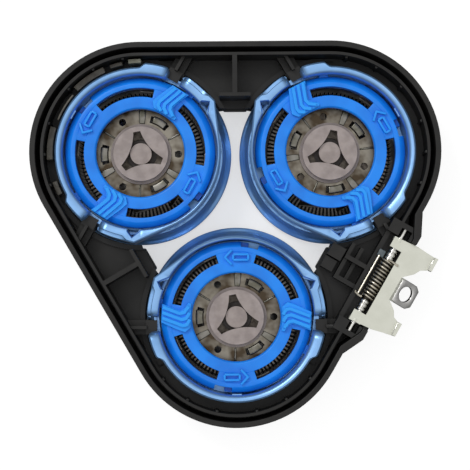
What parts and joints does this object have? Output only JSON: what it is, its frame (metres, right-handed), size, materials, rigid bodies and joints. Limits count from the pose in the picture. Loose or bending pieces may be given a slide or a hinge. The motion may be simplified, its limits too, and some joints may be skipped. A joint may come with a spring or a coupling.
{
  "type": "rotary shaver head",
  "caption": "Rounded-triangle rotary shaver head: tilting slotted heads in blue holders with bayonet rings, a ribbed black frame and a sprung metal hinge plate.",
  "frame": {"origin": "centre of the bounding box at the level of the shaving faces, below the middle between the heads and head c", "axes": "+X to the right of the picture along the longest side, +Y up the picture from head c towards heads a and b, +Z from the shaving faces to the inner side"},
  "size_m": [0.064, 0.06, 0.0118],
  "materials": {
    "frame_black": "moulded, fine satin",
    "holder_blue": "metallic blue lacquer",
    "ring_blue": "moulded, satin",
    "cap_steel": "ground",
    "cutter_steel": "stamped and ground",
    "hub_grey": "moulded, satin",
    "hinge_nickel": "satin nickel",
    "pin_steel": "bright drawn"
  },
  "bodies": {
    "frame": {"outer_shell": "frame_black", "support_frame": "frame_black", "hinge_pin": "pin_steel", "upper_spring_bush": "pin_steel", "lower_spring_bush": "pin_steel", "torsion_spring": "pin_steel"},
    "head_a": {"head_ring_a": "holder_blue", "guard_cap_a": "cap_steel"},
    "ring_a": {"retaining_ring_a": "ring_blue"},
    "cutter_a": {"cutter_a": "cutter_steel", "cutter_hub_a": "hub_grey", "lifter_a": "cap_steel"},
    "head_b": {"head_ring_b": "holder_blue", "guard_cap_b": "cap_steel"},
    "ring_b": {"retaining_ring_b": "ring_blue"},
    "cutter_b": {"cutter_b": "cutter_steel", "cutter_hub_b": "hub_grey", "lifter_b": "cap_steel"},
    "head_c": {"head_ring_c": "holder_blue", "guard_cap_c": "cap_steel"},
    "ring_c": {"retaining_ring_c": "ring_blue"},
    "cutter_c": {"cutter_c": "cutter_steel", "cutter_hub_c": "hub_grey", "lifter_c": "cap_steel"},
    "hinge": {"hinge_plate": "hinge_nickel"}
  },
  "joints": [
    {"name": "head_a_tilt", "type": "hinge", "parent": "frame", "child": "head_a", "pos_m": [-0.01625, 0.0137, 0.006], "axis": [-0.5, -0.866, 0], "range_deg": [-5, 5]},
    {"name": "ring_a_turn", "type": "hinge", "parent": "head_a", "child": "ring_a", "pos_m": [-0.01495, 0.01295, 0.00785], "axis": [0, 0, 1], "range_deg": [0, 18]},
    {"name": "cutter_a_spin", "type": "hinge", "parent": "head_a", "child": "cutter_a", "pos_m": [-0.01495, 0.01295, 0.00525], "axis": [0, 0, 1], "continuous": true},
    {"name": "head_b_tilt", "type": "hinge", "parent": "frame", "child": "head_b", "pos_m": [0.01625, 0.0137, 0.006], "axis": [-0.5, 0.866, 0], "range_deg": [-5, 5]},
    {"name": "ring_b_turn", "type": "hinge", "parent": "head_b", "child": "ring_b", "pos_m": [0.01495, 0.01295, 0.00785], "axis": [0, 0, 1], "range_deg": [0, 18]},
    {"name": "cutter_b_spin", "type": "hinge", "parent": "head_b", "child": "cutter_b", "pos_m": [0.01495, 0.01295, 0.00525], "axis": [0, 0, 1], "continuous": true},
    {"name": "head_c_tilt", "type": "hinge", "parent": "frame", "child": "head_c", "pos_m": [0, -0.01445, 0.006], "axis": [1, 0, 0], "range_deg": [-5, 5]},
    {"name": "ring_c_turn", "type": "hinge", "parent": "head_c", "child": "ring_c", "pos_m": [0, -0.01295, 0.00785], "axis": [0, 0, 1], "range_deg": [0, 18]},
    {"name": "cutter_c_spin", "type": "hinge", "parent": "head_c", "child": "cutter_c", "pos_m": [0, -0.01295, 0.00525], "axis": [0, 0, 1], "continuous": true},
    {"name": "hinge_swing", "type": "hinge", "parent": "frame", "child": "hinge", "pos_m": [0.02197, -0.00733, 0.0096], "axis": [-0.5, -0.866, 0], "range_deg": [0, 95], "stiffness_Nm_per_rad": 0.0006, "springref_deg": -4.58, "deforming": ["torsion_spring"]}
  ]
}
